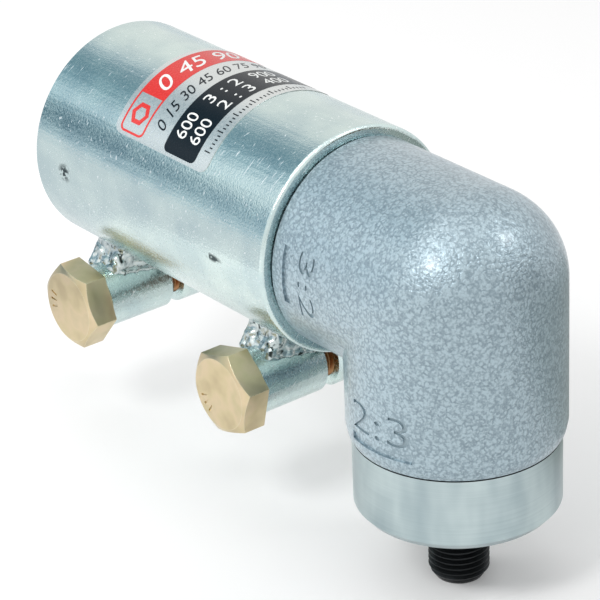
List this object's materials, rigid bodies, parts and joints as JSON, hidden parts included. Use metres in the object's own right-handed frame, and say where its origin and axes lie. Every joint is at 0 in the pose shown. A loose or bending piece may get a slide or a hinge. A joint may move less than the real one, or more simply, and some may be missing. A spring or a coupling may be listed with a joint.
{
  "type": "right angle attachment",
  "caption": "Right angle drill attachment: a slotted clamp sleeve holds a cast elbow head, whose bevel gears turn the drive through a right angle to a threaded spindle.",
  "frame": {"origin": "centre of the clamp sleeve's rear mouth, where the drill's collar goes in", "axes": "+X along the sleeve from its rear mouth to the angle head, -Z along the output spindle to its threaded end, -Y towards the clamp bolts' heads"},
  "size_m": [0.1337, 0.0503, 0.0903],
  "materials": {
    "zinc_plated_steel": "bright zinc plate, satin",
    "plated_weld": "zinc plate over rough weld",
    "yellow_zinc": "yellow zinc plate, satin",
    "label_foil": "printed foil, gloss",
    "hammered_paint": "hammer finish enamel, gloss",
    "turned_aluminium": "fine turned",
    "black_oxide_steel": "black oxide, oiled",
    "seal_rubber": "moulded, satin",
    "bush_bronze": "sintered, satin",
    "spring_steel": "blackened, satin",
    "bearing_steel": "ground and polished",
    "gear_steel": "cut and hardened, oiled"
  },
  "bodies": {
    "clamp": {"clamp_sleeve": "zinc_plated_steel", "rear_plain_lug": "zinc_plated_steel", "rear_threaded_lug": "zinc_plated_steel", "front_plain_lug": "zinc_plated_steel", "front_threaded_lug": "zinc_plated_steel", "rear_plain_weld": "plated_weld", "rear_threaded_weld": "plated_weld", "front_plain_weld": "plated_weld", "front_threaded_weld": "plated_weld", "sleeve_label": "label_foil"},
    "head": {"angle_housing": "hammered_paint", "input_bearing_box": "turned_aluminium", "input_box_circlip": "spring_steel", "input_spindle_bush": "bush_bronze", "input_oil_seal": "seal_rubber", "input_bearing_box_ring": "bearing_steel", "output_bearing_box": "turned_aluminium", "output_box_circlip": "spring_steel", "output_spindle_bush": "bush_bronze", "output_oil_seal": "seal_rubber", "output_bearing_box_ring": "bearing_steel"},
    "input_shaft": {"input_spindle": "black_oxide_steel", "input_gear_key": "spring_steel", "input_gear_circlip": "spring_steel", "input_bearing_circlip": "spring_steel", "input_bearing_shaft_ring": "bearing_steel", "input_bearing_balls": "bearing_steel", "input_bevel_pinion": "gear_steel", "drive_coupling": "zinc_plated_steel"},
    "output_shaft": {"output_spindle": "black_oxide_steel", "output_gear_key": "spring_steel", "output_gear_circlip": "spring_steel", "output_bearing_circlip": "spring_steel", "output_bearing_shaft_ring": "bearing_steel", "output_bearing_balls": "bearing_steel", "output_bevel_gear": "gear_steel"},
    "rear_bolt": {"rear_clamp_bolt": "yellow_zinc"},
    "front_bolt": {"front_clamp_bolt": "yellow_zinc"}
  },
  "joints": [
    {"name": "head_swivel", "type": "hinge", "parent": "clamp", "child": "head", "pos_m": [0.0721, 0, 0], "axis": [1, 0, 0], "continuous": true},
    {"name": "input_spin", "type": "hinge", "parent": "head", "child": "input_shaft", "pos_m": [0.11105, 0, 0], "axis": [-1, 0, 0], "continuous": true},
    {"name": "output_spin", "type": "hinge", "parent": "head", "child": "output_shaft", "pos_m": [0.11105, 0, 0], "axis": [0, 0, -1], "continuous": true},
    {"name": "rear_bolt_turn", "type": "hinge", "parent": "clamp", "child": "rear_bolt", "pos_m": [0.0098, 0, -0.0328], "axis": [0, -1, 0], "range_deg": [0, 720]},
    {"name": "front_bolt_turn", "type": "hinge", "parent": "clamp", "child": "front_bolt", "pos_m": [0.0649, 0, -0.0328], "axis": [0, -1, 0], "range_deg": [0, 720]}
  ],
  "couplings": [
    {"joint": "output_spin", "follows": "input_spin", "ratio": -0.66667}
  ]
}
